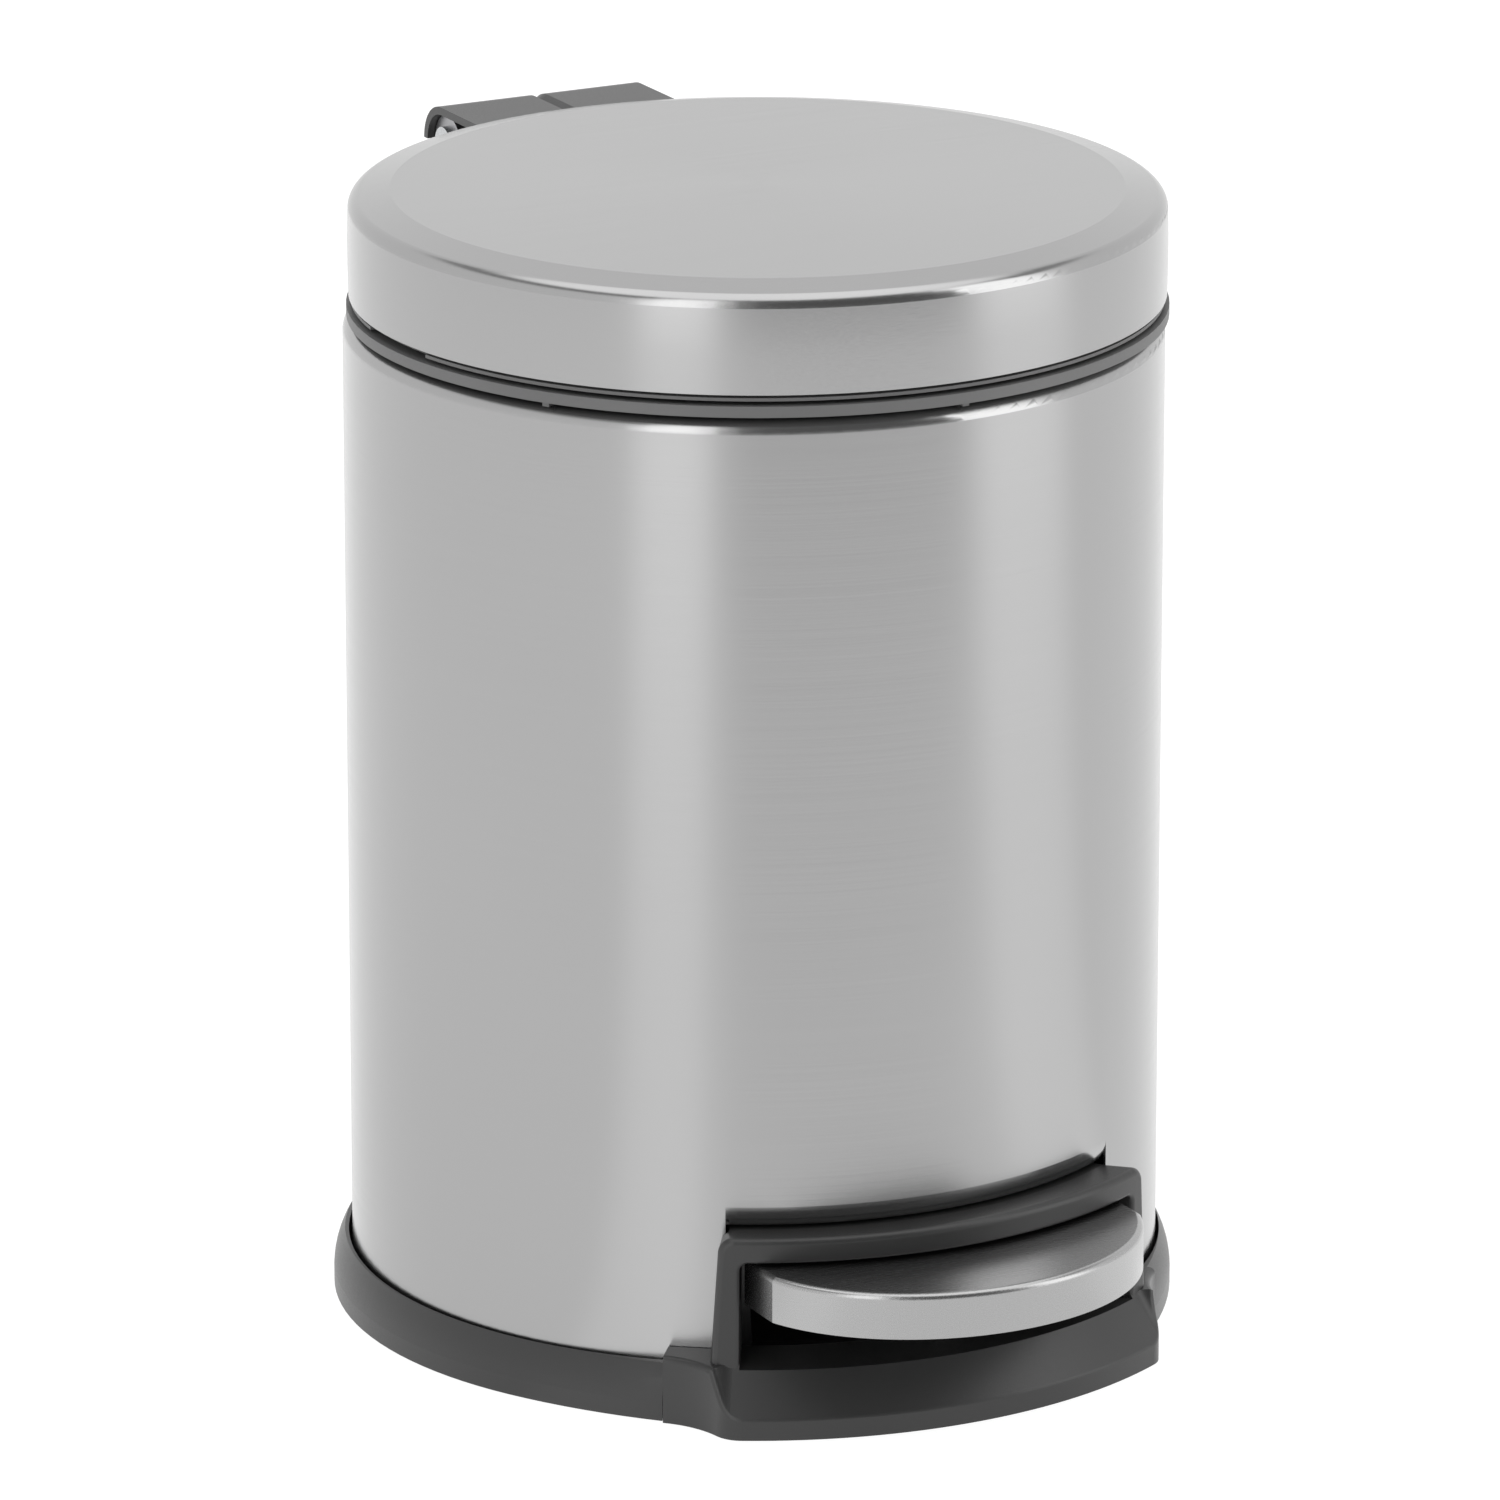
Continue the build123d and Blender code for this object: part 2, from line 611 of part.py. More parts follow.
def rod_guide(level):
    """A block with a running bore for the rod, its back curved to the body's wall."""
    with BuildPart() as guide:
        with BuildSketch(Plane.XY.offset(level)):
            with Locations((0, guide_front_y + 10.0)):
                Rectangle(2 * guide_half_width, 20.0)
            Circle(body_inner, mode=Mode.INTERSECT)
            with Locations((0, rod_y)):
                Circle(rod_radius + running_gap, mode=Mode.SUBTRACT)
        extrude(amount=guide_height)
        with BuildSketch(Plane.XZ):
            with Locations(*[(side * guide_rivet_x, level + guide_height / 2) for side in (-1, 1)]):
                Circle(rivet_radius)
        extrude(amount=-body_radius, mode=Mode.SUBTRACT)
    return guide


rivet_seat_y = sqrt(body_radius**2 - (guide_rivet_x - rivet_head_radius) ** 2) + 0.1

with BuildPart() as guide_rivets:
    with BuildSketch(Plane.XZ.offset(-guide_front_y)):
        with Locations(*rivet_spots):
            Circle(rivet_radius)
    extrude(amount=-(rivet_seat_y - guide_front_y))
    with BuildSketch(Plane.XZ.offset(-rivet_seat_y)):
        with Locations(*rivet_spots):
            Circle(rivet_head_radius)
    extrude(amount=-rivet_head_height)

# ---- hinge bracket on the body's back, its backing plate inside, and four screws ----
bracket_bottom = 212.0
bracket_plate_top = 243.0
bracket_plate = 3.0
bracket_angle = 15.0             # half the arc of wall that the plate covers
backing_thickness = 1.5
knuckle_radius = 7.3
knuckle_start = 14.0             # the two outer knuckles run from here to knuckle_end
knuckle_end = 26.0
pin_end_gap = 1.5                # the hinge pin stands this far out of them
pin_cap_radius = 4.5
leg_half_thickness = 3.2
leg_foot = (103.5, 240.0)
bracket_screw_seat = 101.0       # the screw heads bear on the plate here
bracket_screw_head = 3.3
bracket_screw_end = 94.5
backing_inner = body_inner - backing_thickness


def wall_plate(inner, thickness, half_angle, bottom, top):
    """A plate curved round the body's axis, centred on the back."""
    with BuildPart() as plate:
        with BuildSketch(radial_plane(90 - half_angle)):
            with Locations((inner + thickness / 2, (bottom + top) / 2)):
                Rectangle(thickness, top - bottom)
        revolve(axis=Axis.Z, revolution_arc=2 * half_angle)
    return plate.part


leg_length = sqrt((hinge_y - leg_foot[0]) ** 2 + (hinge_z - leg_foot[1]) ** 2)
leg_lean = degrees(asin((hinge_y - leg_foot[0]) / leg_length))

with BuildPart() as hinge_bracket:
    add(wall_plate(body_radius, bracket_plate, bracket_angle, bracket_bottom, bracket_plate_top))
    for knuckle_from in (-knuckle_end, knuckle_start):
        with BuildSketch(Plane.YZ.offset(knuckle_from)):
            with Locations((hinge_y, hinge_z)):
                Circle(knuckle_radius)
            with Locations(Location(((hinge_y + leg_foot[0]) / 2, (hinge_z + leg_foot[1]) / 2), -leg_lean)):
                Rectangle(2 * leg_half_thickness, leg_length)
            with Locations((hinge_y, hinge_z)):
                Circle(pin_radius, mode=Mode.SUBTRACT)
        extrude(amount=knuckle_end - knuckle_start)
    with BuildSketch(Plane.XY.offset(bracket_bottom)):
        Circle(body_radius)
    extrude(amount=body_top - bracket_bottom, mode=Mode.SUBTRACT)
    with BuildSketch(Plane.XZ.offset(-bracket_screw_end)):
        with Locations(*bracket_screw_spots):
            Circle(bracket_screw_radius)
    extrude(amount=-(hinge_y - bracket_screw_end), mode=Mode.SUBTRACT)
    with BuildSketch(Plane.XZ.offset(-bracket_screw_seat)):
        with Locations(*bracket_screw_spots):
            Circle(bracket_screw_head)
    extrude(amount=-(hinge_y - bracket_screw_end), mode=Mode.SUBTRACT)

with BuildPart() as backing_plate:
    add(wall_plate(backing_inner, backing_thickness, bracket_angle, bracket_bottom, bracket_plate_top))
    with BuildSketch(Plane.XZ.offset(-bracket_screw_end)):
        with Locations(*bracket_screw_spots):
            Circle(bracket_screw_radius)
    extrude(amount=-(hinge_y - bracket_screw_end), mode=Mode.SUBTRACT)

with BuildPart() as bracket_screws:
    with BuildSketch(Plane.XZ.offset(-bracket_screw_end)):
        with Locations(*bracket_screw_spots):
            Circle(bracket_screw_radius)
    extrude(amount=-(bracket_screw_seat - bracket_screw_end))
    with BuildSketch(Plane.XZ.offset(-bracket_screw_seat)):
        with Locations(*bracket_screw_spots):
            Circle(bracket_screw_head)
    extrude(amount=-screw_head_height)

with BuildPart() as hinge_pin:
    with BuildSketch(Plane.YZ.offset(-knuckle_end - pin_end_gap)):
        with Locations((hinge_y, hinge_z)):
            Circle(pin_radius)
    extrude(amount=2 * (knuckle_end + pin_end_gap))

with BuildPart() as pin_caps:
    for cap_start in (-knuckle_end - pin_end_gap, knuckle_end):
        with BuildSketch(Plane.YZ.offset(cap_start)):
            with Locations((hinge_y, hinge_z)):
                Circle(pin_cap_radius)
                Circle(pin_radius, mode=Mode.SUBTRACT)
        extrude(amount=pin_end_gap)

# ---- inner bucket: lifts out, hangs from its rim on six nibs over the body's rolled edge ----
bucket_floor = 52.0
bucket_bottom_radius = 83.0
bucket_top_radius = 90.0
bucket_rim_radius = 99.9
bucket_rim_bottom = 249.7
bucket_rim_top = 252.4
nib_width = 1.8
nib_angle = 2.7                  # one nib stands this far round from the front
nib_end_radius = body_radius - 1.0
nib_count = 6
rod_notch_half_width = 16.0
rod_notch_y = head_front_y - 0.5

with BuildPart() as inner_bucket:
    with BuildSketch(lid_plane):
        with BuildLine():
            Polyline(
                (0, bucket_floor), (bucket_bottom_radius, bucket_floor),
                (bucket_top_radius, bucket_rim_bottom), (bucket_rim_radius, bucket_rim_bottom),
                (bucket_rim_radius, bucket_rim_top), (bucket_top_radius - plastic, bucket_rim_top),
                (bucket_bottom_radius - plastic, bucket_floor + plastic),
                (0, bucket_floor + plastic), close=True,
            )
        make_face()
    revolve(axis=lid_axis)
    with BuildSketch(Plane.XY.offset(body_top)):
        with PolarLocations((rim_inner_radius + nib_end_radius) / 2, nib_count, start_angle=-90 + nib_angle):
            Rectangle(nib_end_radius - rim_inner_radius, nib_width)
    extrude(amount=bucket_rim_bottom - body_top + plastic / 2)
    with BuildSketch(Plane.XY.offset(body_top)):
        with Locations((0, (rod_notch_y + hinge_y) / 2)):
            Rectangle(2 * rod_notch_half_width, hinge_y - rod_notch_y)
    extrude(amount=lid_bottom - body_top, mode=Mode.SUBTRACT)

# ---- lid shell: drawn steel, with a skirt that is cut away at the back for the hinge arm ----
lid_top = lid_bottom + lid_height
lid_edge_z = 275.9               # where the skirt starts to round over
lid_barrel = 0.15                # the skirt is this much slimmer at its ends than at its middle
lid_crown = 0.5                  # rise of the top from the shoulder to its middle
lid_shoulder = (lid_radius - 2.5, lid_top - 2.2)
lid_flat = (lid_radius - 10.5, lid_top - lid_crown)
crown_radius = (lid_flat[0] ** 2 + lid_crown**2) / (2 * lid_crown)
crown_centre = (0, lid_top - crown_radius)
flat_angle = degrees(asin(lid_flat[0] / crown_radius))
skirt_notch_half_width = 22.0
skirt_notch_top = 274.6
lid_hem_height = 1.5
hem_radius = lid_radius - lid_barrel - 2 * sheet

with BuildPart() as lid_shell:
    with BuildSketch(lid_plane):
        with BuildLine():
            skirt = ThreePointArc(
                (lid_radius - lid_barrel, lid_bottom), (lid_radius, (lid_bottom + lid_edge_z) / 2),
                (lid_radius - lid_barrel, lid_edge_z),
            )
            TangentArc(skirt @ 1, lid_shoulder, tangent=skirt % 1)
            Line(lid_shoulder, lid_flat)
            crown = CenterArc(crown_centre, crown_radius, 90 - flat_angle, flat_angle)
            inner_crown = CenterArc(crown_centre, crown_radius - sheet, 90 - flat_angle, flat_angle)
            Line(crown @ 1, inner_crown @ 1)
            hem_top = (hem_radius, lid_bottom + lid_hem_height)
            inner_skirt = ThreePointArc(
                (lid_radius - lid_barrel - sheet, lid_edge_z),
                (lid_radius - sheet, (lid_bottom + lid_edge_z) / 2),
                (lid_radius - lid_barrel - sheet, lid_bottom + lid_hem_height),
            )
            Polyline(inner_crown @ 0, (lid_shoulder[0], lid_shoulder[1] - sheet), inner_skirt @ 0)
            Polyline(inner_skirt @ 1, hem_top, (hem_radius, lid_bottom), skirt @ 0)
        make_face()
    revolve(axis=lid_axis)
    with BuildSketch(Plane.XY.offset(lid_bottom)):
        with Locations((0, lid_radius)):
            Rectangle(2 * skirt_notch_half_width, lid_height)
    extrude(amount=skirt_notch_top - lid_bottom, mode=Mode.SUBTRACT)

# ---- lid liner: moulded disc inside the lid, with a pocket for the rod's head ----
liner_bottom = 253.4
liner_lip_radius = 98.8
liner_radius = 97.0
liner_lip = 0.8
liner_floor = 2.4
liner_wall_top = 267.0
pocket_half_width = 7.0
pocket_front_y = 86.0
side_notch_angle = 88.0
side_notch_arc = 17.0
bumper_radius = 3.0
bumper_circle = 92.5
bumper_bottom = 252.7
bumper_top = 254.9
bumper_spots = [
    (bumper_circle * sin(radians(angle)), lid_shift - bumper_circle * cos(radians(angle)))
    for angle in (-130.0, -50.0, 50.0, 130.0)
]

with BuildPart() as lid_liner:
    with BuildSketch(lid_plane):
        with BuildLine():
            Polyline(
                (0, liner_bottom), (liner_lip_radius, liner_bottom),
                (liner_lip_radius, liner_bottom + liner_lip), (liner_radius, liner_bottom + liner_lip),
                (liner_radius, liner_wall_top), (liner_radius - plastic, liner_wall_top),
                (liner_radius - plastic, liner_bottom + liner_floor),
                (0, liner_bottom + liner_floor), close=True,
            )
        make_face()
    revolve(axis=lid_axis)
    with BuildSketch(Plane.XY.offset(liner_bottom)):
        with Locations((0, (pocket_front_y + hinge_y) / 2)):
            Rectangle(2 * pocket_half_width, hinge_y - pocket_front_y)
    extrude(amount=liner_wall_top - liner_bottom, mode=Mode.SUBTRACT)
    for notch_middle in (-90 - side_notch_angle, -90 + side_notch_angle):
        with BuildSketch(radial_plane(notch_middle - side_notch_arc / 2)):
            with Locations((liner_lip_radius, liner_bottom)):
                Rectangle(2 * (liner_lip_radius - liner_radius), 2 * liner_lip)
        revolve(axis=Axis.Z, revolution_arc=side_notch_arc, mode=Mode.SUBTRACT)
    with BuildSketch(Plane.XY.offset(liner_bottom)):
        with Locations(*bumper_spots):
            Circle(bumper_radius)
    extrude(amount=bumper_top - liner_bottom, mode=Mode.SUBTRACT)

with BuildPart() as lid_bumpers:
    with BuildSketch(Plane.XY.offset(bumper_bottom)):
        with Locations(*bumper_spots):
            Circle(bumper_radius)
    extrude(amount=bumper_top - bumper_bottom)

# ---- hinge arm: cover, barrel and ribs round the hinge pin, and a tongue that carries the lid ----
cover_top = 277.65
cover_wall = 2.0
cover_radius = cover_top - hinge_z
cover_front = lid_radius + 0.3
groove_half_width = 1.75
groove_depth = 1.0
barrel_radius = 6.5
barrel_start = 5.0
barrel_end = 13.0
rib_start = 9.0
tongue_bottom = 270.5
tongue_top = 273.5
tongue_half_width = 20.0
tongue_rear_y = 104.0
tongue_front_y = 62.0
pad_rear_y = 84.0
pad_top = lid_flat[1] - sheet - 0.3
arm_screw_y = 88.5
arm_screw_x = 12.0
tongue_joint = 7.0               # length of the tongue's join to the ribs
rib_toe = 4.0                    # the ribs slope from the tongue up to the barrels

with BuildPart() as hinge_arm:
    with BuildSketch(Plane.YZ.offset(-hinge_half_width)):
        with BuildLine():
            round_outer = CenterArc((hinge_y, hinge_z), cover_radius, 0, 90)
            round_inner = CenterArc((hinge_y, hinge_z), cover_radius - cover_wall, 0, 90)
            Line(round_outer @ 0, round_inner @ 0)
            Polyline(
                round_outer @ 1, (pad_rear_y, cover_top),
                (pad_rear_y, cover_top - cover_wall), round_inner @ 1,
            )
        make_face()
    extrude(amount=2 * hinge_half_width)
    with BuildSketch(Plane.XY.offset(cover_top - cover_wall)):
        with Locations((0, lid_shift)):
            Circle(cover_front)
    extrude(amount=cover_wall, mode=Mode.SUBTRACT)
    for barrel_from in (-barrel_end, barrel_start):
        with BuildSketch(Plane.YZ.offset(barrel_from)):
            with Locations((hinge_y, hinge_z)):
                Circle(barrel_radius)
        extrude(amount=barrel_end - barrel_start)
    for rib_from in (-barrel_end, rib_start):
        with BuildSketch(Plane.YZ.offset(rib_from)):
            with BuildLine():
                Polyline(
                    (hinge_y, hinge_z), (hinge_y, cover_top - cover_wall / 2),
                    (tongue_rear_y, cover_top - cover_wall / 2), (tongue_rear_y, tongue_bottom),
                    (tongue_rear_y + rib_toe, tongue_bottom), close=True,
                )
            make_face()
        extrude(amount=barrel_end - rib_start)
    with BuildSketch(Plane.XY.offset(tongue_bottom)):
        with Locations((0, (tongue_front_y + tongue_rear_y) / 2)):
            Rectangle(2 * tongue_half_width, tongue_rear_y - tongue_front_y)
        with Locations((0, tongue_rear_y)):
            Rectangle(2 * barrel_end, tongue_joint)
    extrude(amount=tongue_top - tongue_bottom)
    with BuildSketch(Plane.XY.offset(tongue_bottom)):
        with Locations((0, (tongue_front_y + pad_rear_y) / 2)):
            Rectangle(2 * tongue_half_width, pad_rear_y - tongue_front_y)
    extrude(amount=pad_top - tongue_bottom)
    with BuildSketch(Plane.YZ.offset(-barrel_end)):
        with Locations((hinge_y, hinge_z)):
            Circle(pin_radius + running_gap)
    extrude(amount=2 * barrel_end, mode=Mode.SUBTRACT)
    with BuildSketch(Plane.XZ):
        with BuildLine():
            Polyline(
                (-groove_half_width, cover_top), (0, cover_top - groove_depth),
                (groove_half_width, cover_top), close=True,
            )
        make_face()
    extrude(amount=-hinge_y, mode=Mode.SUBTRACT)
    with BuildSketch(Plane.XY.offset(hinge_z)):
        with BuildLine():
            Polyline(
                (-groove_half_width, hinge_y + cover_radius), (0, hinge_y + cover_radius - groove_depth),
                (groove_half_width, hinge_y + cover_radius), close=True,
            )
        make_face()
    revolve(axis=Axis((0, hinge_y, hinge_z), (1, 0, 0)), revolution_arc=90, mode=Mode.SUBTRACT)
    with BuildSketch(Plane.XY.offset(tongue_bottom)):
        with Locations((-arm_screw_x, arm_screw_y), (arm_screw_x, arm_screw_y)):
            Circle(screw_radius)
    extrude(amount=tongue_top - tongue_bottom, mode=Mode.SUBTRACT)

# ---- lid crank: steel fork from the hinge pin to the crank pin, screwed under the arm's tongue ----
fork_gap = 2.0                   # inner face of each cheek, from the middle
fork_outer = 4.5
crank_plate_bottom = 268.0
crank_plate_front_y = 84.0
eye_radius = 4.0
crank_plate_rear_y = hinge_y - 5.0
crank_plate_wide = 10.0          # length of the plate's wide end, where the screws go
crank_plate_side = 4.0           # plate outside each screw's middle
pin_head_radius = 2.4
pin_head = 0.8                   # thickness of the crank pin's two heads

with BuildPart() as lid_crank:
    for cheek_from in (-fork_outer, fork_gap):
        with BuildSketch(Plane.YZ.offset(cheek_from)):
            with Locations((hinge_y, hinge_z)):
                Circle(barrel_radius)
            with Locations((crank_pin_y, crank_pin_z)):
                Circle(eye_radius)
            make_hull()
        extrude(amount=fork_outer - fork_gap)
    with BuildSketch(Plane.YZ.offset(-fork_outer)):
        with Locations((hinge_y, hinge_z)):
            Circle(barrel_radius)
    extrude(amount=2 * fork_outer)
    with BuildSketch(Plane.XY.offset(crank_plate_bottom)):
        with Locations((0, (crank_plate_front_y + crank_plate_rear_y) / 2)):
            Rectangle(2 * fork_outer, crank_plate_rear_y - crank_plate_front_y)
        with Locations((0, crank_plate_front_y + crank_plate_wide / 2)):
            Rectangle(2 * (arm_screw_x + crank_plate_side), crank_plate_wide)
    extrude(amount=tongue_bottom - crank_plate_bottom)
    with BuildSketch(Plane.YZ.offset(-fork_outer)):
        with Locations((hinge_y, hinge_z)):
            Circle(pin_radius + running_gap)
        with Locations((crank_pin_y, crank_pin_z)):
            Circle(crank_pin_radius)
    extrude(amount=2 * fork_outer, mode=Mode.SUBTRACT)
    with BuildSketch(Plane.XY.offset(crank_plate_bottom)):
        with Locations((-arm_screw_x, arm_screw_y), (arm_screw_x, arm_screw_y)):
            Circle(screw_radius)
    extrude(amount=tongue_bottom - crank_plate_bottom, mode=Mode.SUBTRACT)

with BuildPart() as crank_pin:
    with BuildSketch(Plane.YZ.offset(-fork_outer - pin_head)):
        with Locations((crank_pin_y, crank_pin_z)):
            Circle(crank_pin_radius)
    extrude(amount=2 * (fork_outer + pin_head))
    for head_from in (-fork_outer - pin_head, fork_outer):
        with BuildSketch(Plane.YZ.offset(head_from)):
            with Locations((crank_pin_y, crank_pin_z)):
                Circle(pin_head_radius)
        extrude(amount=pin_head)

with BuildPart() as arm_screws:
    with BuildSketch(Plane.XY.offset(crank_plate_bottom)):
        with Locations((-arm_screw_x, arm_screw_y), (arm_screw_x, arm_screw_y)):
            Circle(screw_radius)
    extrude(amount=tongue_top - crank_plate_bottom)
    with BuildSketch(Plane.XY.offset(crank_plate_bottom - screw_head_height)):
        with Locations((-arm_screw_x, arm_screw_y), (arm_screw_x, arm_screw_y)):
            Circle(screw_head_radius)
    extrude(amount=screw_head_height)

# ---- write every piece ----
pieces = {
    "body_shell": body_shell,
    "pedal_housing": pedal_housing,
    "base": base,
    "rubber_feet": rubber_feet,
    "housing_screws": housing_screws,
    "pedal_axle": pedal_axle,
    "axle_clips": axle_clips,
    "pedal_cap": pedal_cap,
    "pedal_core": pedal_core,
    "pedal_lever": pedal_lever,
    "lever_bushes": lever_bushes,
    "pedal_screws": pedal_screws,
    "lever_tip": lever_tip,
    "push_rod": push_rod,
    "rod_foot": rod_foot,
    "rod_head": rod_head,
    "guide_rivets": guide_rivets,
    "hinge_bracket": hinge_bracket,
    "backing_plate": backing_plate,
    "bracket_screws": bracket_screws,
    "hinge_pin": hinge_pin,
    "pin_caps": pin_caps,
    "inner_bucket": inner_bucket,
    "lid_shell": lid_shell,
    "lid_liner": lid_liner,
    "lid_bumpers": lid_bumpers,
    "hinge_arm": hinge_arm,
    "lid_crank": lid_crank,
    "crank_pin": crank_pin,
    "arm_screws": arm_screws,
}
for guide_name, guide_level in guide_levels.items():
    pieces[guide_name] = rod_guide(guide_level)

for name, piece in pieces.items():
    save(piece, name)

print(f"rod travel {rod_travel:.3f} mm for {2 * crank_angle:.0f} degrees of lid")
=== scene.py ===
"""Materials, studio and camera for the round steel pedal bin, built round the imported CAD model."""
import math

import bpy
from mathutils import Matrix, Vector

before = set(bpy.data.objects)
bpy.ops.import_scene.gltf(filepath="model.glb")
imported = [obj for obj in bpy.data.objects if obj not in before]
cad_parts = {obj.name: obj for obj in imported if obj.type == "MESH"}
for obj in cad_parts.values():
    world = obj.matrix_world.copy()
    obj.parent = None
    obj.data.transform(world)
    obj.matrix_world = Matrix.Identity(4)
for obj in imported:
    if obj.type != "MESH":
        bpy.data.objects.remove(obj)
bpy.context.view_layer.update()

MM = 0.001


# ---------------------------------------------------------------- node helpers

def add_node(tree, kind, settings=(), **inputs):
    """A new shader node with its settings and input values; an input given as a socket is linked."""
    made = tree.nodes.new(kind)
    for name, value in dict(settings).items():
        setattr(made, name, value)
    for name, value in inputs.items():
        socket = made.inputs[int(name[2:])] if name.startswith("in") else made.inputs[name.replace("_", " ")]
        if isinstance(value, bpy.types.NodeSocket):
            tree.links.new(value, socket)
        else:
            socket.default_value = value
    return made


def new_finish(name, colour, roughness, metallic=0.0):
    """A material with a Principled shader; returns the material, its node tree and the shader."""
    material = bpy.data.materials.new(name)
    material.use_nodes = True
    tree = material.node_tree
    shader = tree.nodes["Principled BSDF"]
    shader.inputs["Base Color"].default_value = (*colour, 1.0)
    shader.inputs["Roughness"].default_value = roughness
    shader.inputs["Metallic"].default_value = metallic
    return material, tree, shader


def streaks(tree, scale, detail=3.0):
    """Noise over the part's own coordinates, with its own number of marks per metre along X, Y and Z."""
    place = add_node(tree, "ShaderNodeTexCoord")
    mapping = add_node(tree, "ShaderNodeMapping", Vector=place.outputs["Object"], Scale=scale)
    noise = add_node(tree, "ShaderNodeTexNoise", Vector=mapping.outputs[0], Scale=1.0, Detail=detail)
    return noise.outputs["Fac"]


def between(tree, factor, low, high):
    """Turns a noise pattern into a value from low to high; most of the noise lies from 0.25 to 0.75."""
    noise_low, noise_high = 0.25, 0.75
    spread = add_node(
        tree, "ShaderNodeMapRange", in0=factor, in1=noise_low, in2=noise_high, in3=low, in4=high,
    )
    return spread.outputs["Result"]


def tinted(tree, factor, colour, change):
    """Varies a colour by a small share either way with a 0 to 1 pattern."""
    ramp = add_node(tree, "ShaderNodeValToRGB", Fac=factor)
    darkest_at, lightest_at = 0.3, 0.7
    ends = ((1 - change, darkest_at), (1 + change, lightest_at))
    for element, (share, place) in zip(ramp.color_ramp.elements, ends):
        element.position = place
        element.color = (*[part * share for part in colour], 1.0)
    return ramp.outputs["Color"]


def raised(tree, shader, height, depth):
    """Bumps the surface by a 0 to 1 pattern, depth metres from lowest to highest."""
    bump = add_node(tree, "ShaderNodeBump", Height=height, Strength=1.0, Distance=depth)
    tree.links.new(bump.outputs["Normal"], shader.inputs["Normal"])


# ---------------------------------------------------------------- finishes

def satin_steel(name, colour, roughness, grain, stretch=0.0):
    """Brushed steel. grain is scratches per metre along X, Y and Z; stretch draws reflections upright."""
    cloud_size, cloud_tint = (9.0, 9.0, 9.0), 0.012
    wear, scratch_depth = 0.03, 0.003 * MM
    material, tree, shader = new_finish(name, colour, roughness, metallic=1.0)
    scratches = streaks(tree, grain)
    clouds = streaks(tree, cloud_size, detail=2.0)
    tree.links.new(tinted(tree, clouds, colour, cloud_tint), shader.inputs["Base Color"])
    tree.links.new(between(tree, scratches, roughness - wear, roughness + wear), shader.inputs["Roughness"])
    raised(tree, shader, scratches, scratch_depth)
    shader.inputs["Anisotropic"].default_value = stretch
    if stretch:
        vertical = 0.25              # of a turn from the direction round the axis
        around = add_node(tree, "ShaderNodeTangent", {"direction_type": "RADIAL", "axis": "Z"})
        tree.links.new(around.outputs["Tangent"], shader.inputs["Tangent"])
        shader.inputs["Anisotropic Rotation"].default_value = vertical
    return material


def moulded_plastic(name, colour, roughness, texture):
    """Moulded plastic with a fine spark-eroded texture; texture is its number of grains per metre."""
    cloud_size, cloud_tint = (25.0, 25.0, 25.0), 0.06
    wear, grain_depth = 0.05, 0.012 * MM
    material, tree, shader = new_finish(name, colour, roughness)
    grains = streaks(tree, (texture, texture, texture), detail=2.0)
    clouds = streaks(tree, cloud_size, detail=2.0)
    tree.links.new(tinted(tree, clouds, colour, cloud_tint), shader.inputs["Base Color"])
    tree.links.new(between(tree, grains, roughness - wear, roughness + wear), shader.inputs["Roughness"])
    raised(tree, shader, grains, grain_depth)
    return material


def zinc_plate(name):
    """Bright zinc plating on the small fasteners, slightly mottled."""
    colour = (0.52, 0.53, 0.54)
    smoothest, usual, roughest = 0.24, 0.3, 0.38
    spangle_size, spangle_tint, spangle_depth = (700.0, 700.0, 700.0), 0.08, 0.004 * MM
    material, tree, shader = new_finish(name, colour, usual, metallic=1.0)
    spangle = streaks(tree, spangle_size, detail=1.0)
    tree.links.new(tinted(tree, spangle, colour, spangle_tint), shader.inputs["Base Color"])
    tree.links.new(between(tree, spangle, smoothest, roughest), shader.inputs["Roughness"])
    raised(tree, shader, spangle, spangle_depth)
    return material


# scratches per metre along X, Y and Z; few along the way that the steel was brushed or drawn
round_the_body = (4.0, 4.0, 5000.0)
across_the_lid = (6.0, 3000.0, 3000.0)
across_the_pedal = (6.0, 4000.0, 4000.0)
up_the_bars = (1500.0, 1500.0, 60.0)
along_the_strips = (1200.0, 60.0, 1200.0)
steel_colour = (0.39, 0.39, 0.39)

finishes = {
    "steel_body": satin_steel("satin_body_steel", steel_colour, 0.225, round_the_body, stretch=0.7),
    "steel_lid": satin_steel("satin_lid_steel", steel_colour, 0.21, across_the_lid, stretch=0.3),
    "steel_pedal": satin_steel("satin_pedal_steel", steel_colour, 0.26, across_the_pedal),
    "steel_bar": satin_steel("drawn_bar_steel", (0.42, 0.42, 0.42), 0.25, up_the_bars),
    "steel_strip": satin_steel("rolled_strip_steel", (0.40, 0.40, 0.41), 0.38, along_the_strips),
    "zinc_fasteners": zinc_plate("zinc_plate"),
    "dark_plastic": moulded_plastic("dark_grey_plastic", (0.027, 0.027, 0.027), 0.36, 2500.0),
    "grey_plastic": moulded_plastic("mid_grey_plastic", (0.13, 0.13, 0.13), 0.5, 2000.0),
    "white_plastic": moulded_plastic("natural_white_plastic", (0.72, 0.71, 0.68), 0.45, 2000.0),
    "rubber": moulded_plastic("soft_rubber", (0.012, 0.012, 0.012), 0.75, 3000.0),
}

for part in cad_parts.values():
    for place in part.material_slots:
        place.material = finishes[place.material.name]


# ---------------------------------------------------------------- studio

view_azimuth = math.radians(-27.579)
view_elevation = math.radians(17.12)
camera_aim = Vector((-0.84 * MM, 0.44 * MM, 137.1 * MM))
camera_distance = 2.6923
camera_lens = 262.68             # mm, with the sensor's width
sensor_width = 36.0
far_clip = 50.0                  # metres

